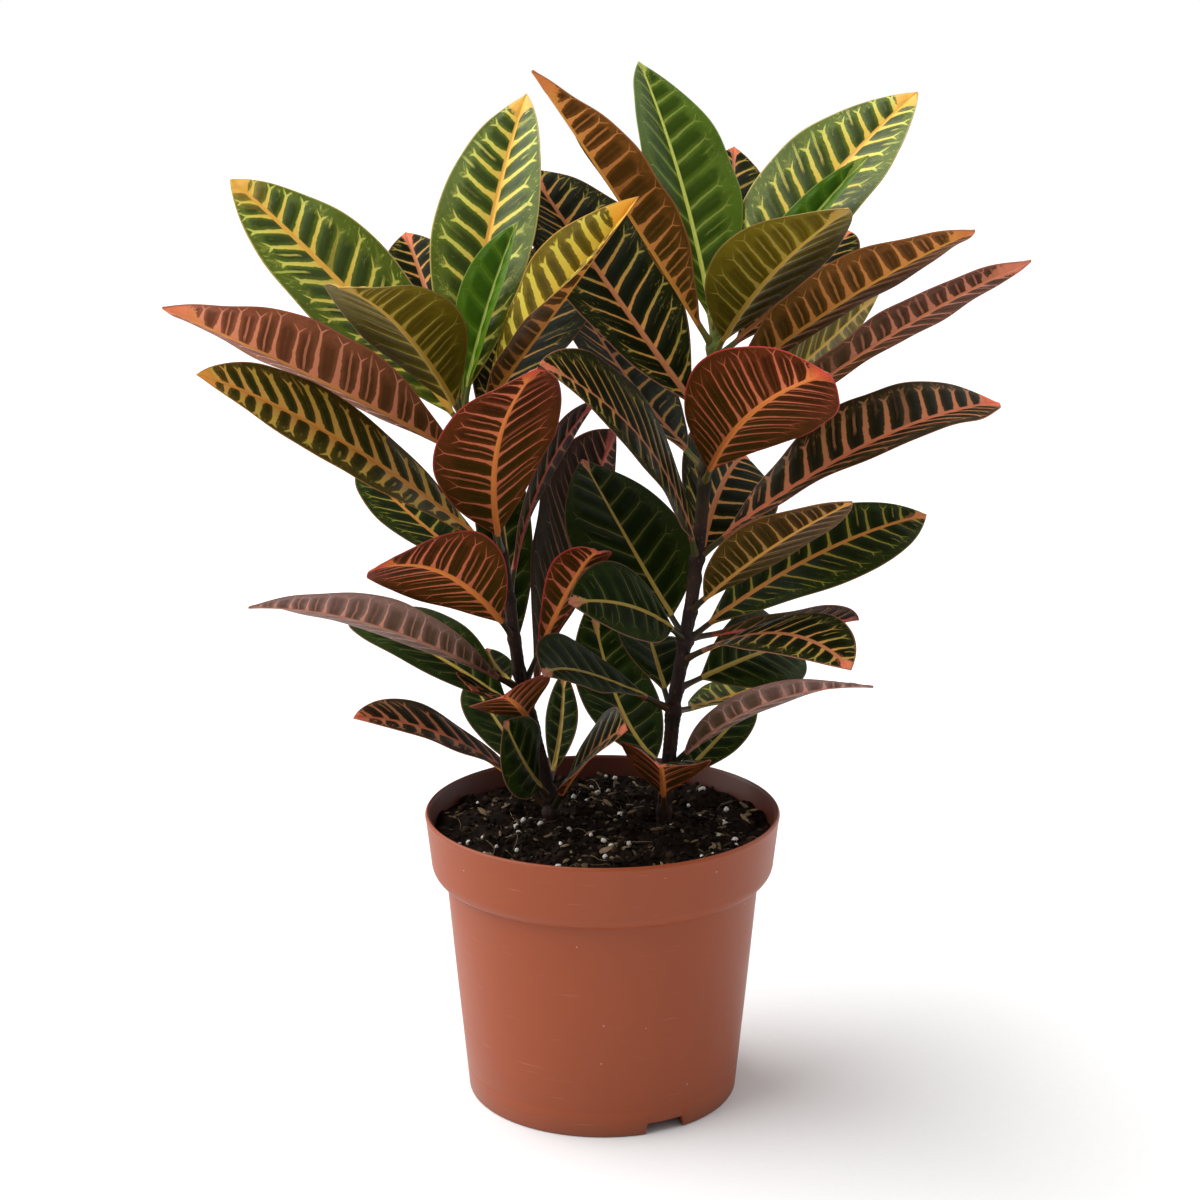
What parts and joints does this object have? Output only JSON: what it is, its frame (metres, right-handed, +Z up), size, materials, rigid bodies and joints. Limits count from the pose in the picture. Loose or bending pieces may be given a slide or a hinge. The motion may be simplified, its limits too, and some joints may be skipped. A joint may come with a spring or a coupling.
{
  "type": "potted croton",
  "caption": "Leafy two-stemmed croton with large variegated leaves, standing in soil in a round tapered nursery pot.",
  "frame": {"origin": "middle of the pot's underside, on the surface that the pot stands on", "axes": "+Z up the pot's axis, +X to the plant's right seen from the front, -Y to the front"},
  "size_m": [0.38, 0.2444, 0.4866],
  "materials": {
    "pot": "satin terracotta-coloured plastic",
    "soil": "rough moist peat with bark and perlite",
    "foliage": "glossy leaves with yellow, orange and red veins on green and maroon"
  },
  "bodies": {
    "root": {"pot": "pot", "soil": "soil", "left_shoot": "foliage", "right_shoot": "foliage"}
  },
  "joints": []
}
